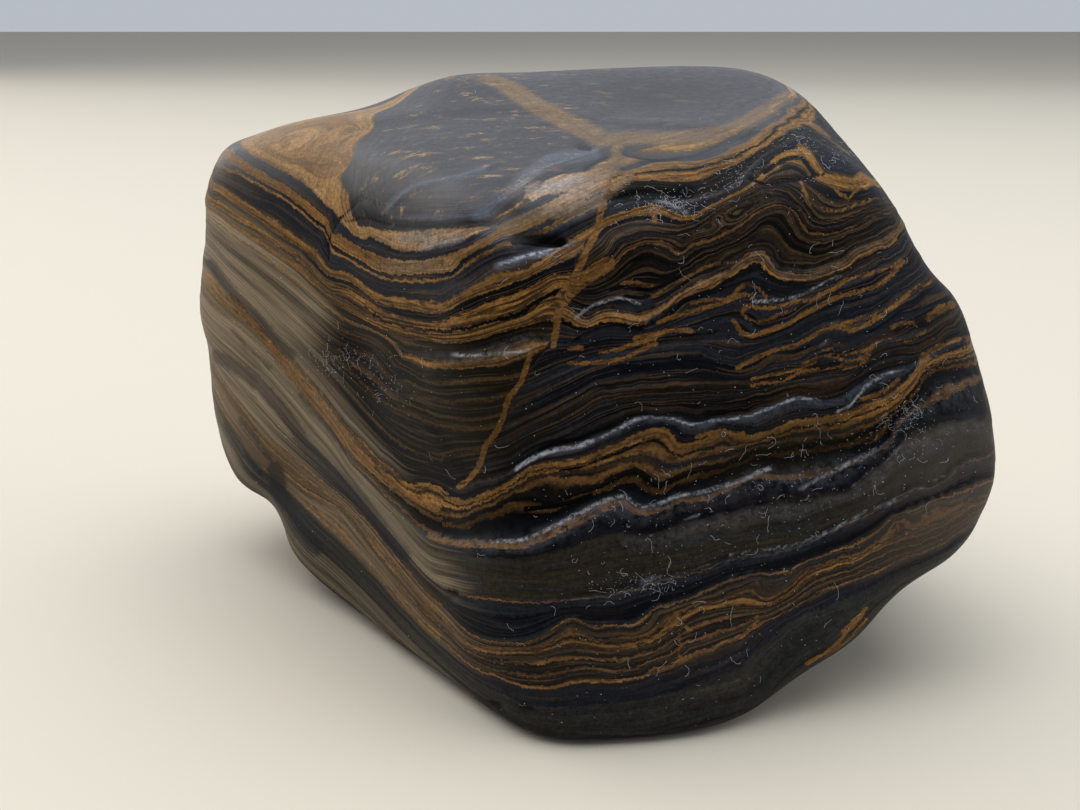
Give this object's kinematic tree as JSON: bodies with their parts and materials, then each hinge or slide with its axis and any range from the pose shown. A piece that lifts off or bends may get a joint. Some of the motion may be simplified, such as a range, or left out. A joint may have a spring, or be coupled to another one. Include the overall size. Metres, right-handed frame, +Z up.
{
  "type": "banded iron formation specimen",
  "caption": "Hand-sized water-worn block of banded ironstone, with dark iron-rich and ochre beds standing in low ledges, resting on a flat patch of its underside.",
  "frame": {"origin": "on the surface that the stone rests on, under the middle of its box", "axes": "+X along the stone's longest side, to the right seen from its near corner; +Z up; the near corner faces -Y"},
  "size_m": [0.1108, 0.089, 0.0745],
  "materials": {
    "banded_ironstone": "worn smooth, with a satin polish; near-black, steel-grey and olive iron beds with golden-ochre bands"
  },
  "bodies": {
    "root": {"banded_iron_stone": "banded_ironstone"}
  },
  "joints": []
}
